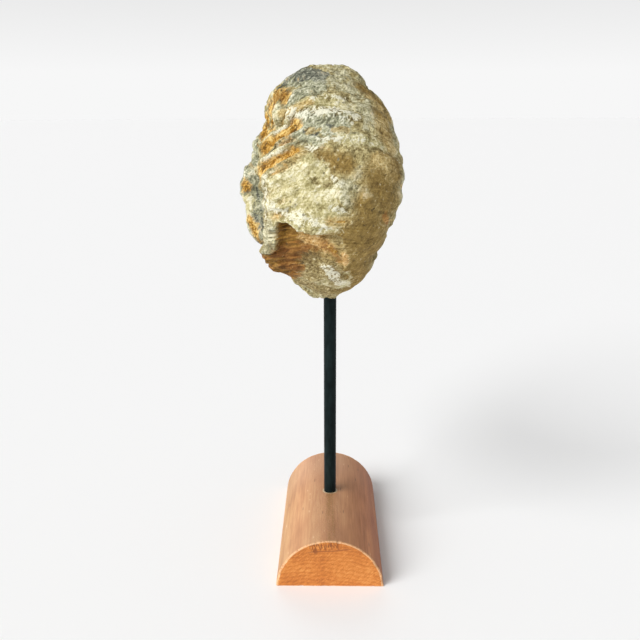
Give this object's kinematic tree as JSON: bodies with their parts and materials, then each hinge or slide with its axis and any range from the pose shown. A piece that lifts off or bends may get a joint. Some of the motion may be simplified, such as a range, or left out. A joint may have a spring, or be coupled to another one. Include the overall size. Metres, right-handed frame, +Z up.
{
  "type": "fossil ammonite on stand",
  "caption": "Thick coiled fossil ammonite shown edge-on, held upright on a thin round rod that rises from a half-round wooden base.",
  "frame": {"origin": "centre of the base's flat underside, on the surface the base stands on", "axes": "+Z up along the rod, Y along the length of the base; the coil's broad outer edge faces -Y"},
  "size_m": [0.0928, 0.1126, 0.2773],
  "materials": {
    "fossil_stone": "rough weathered stone, buff and grey with ochre stains",
    "black_steel": "satin black",
    "stained_wood": "sanded reddish-brown wood, matte, unvarnished end grain"
  },
  "bodies": {
    "root": {"ammonite": "fossil_stone", "rod": "black_steel", "base": "stained_wood"}
  },
  "joints": []
}
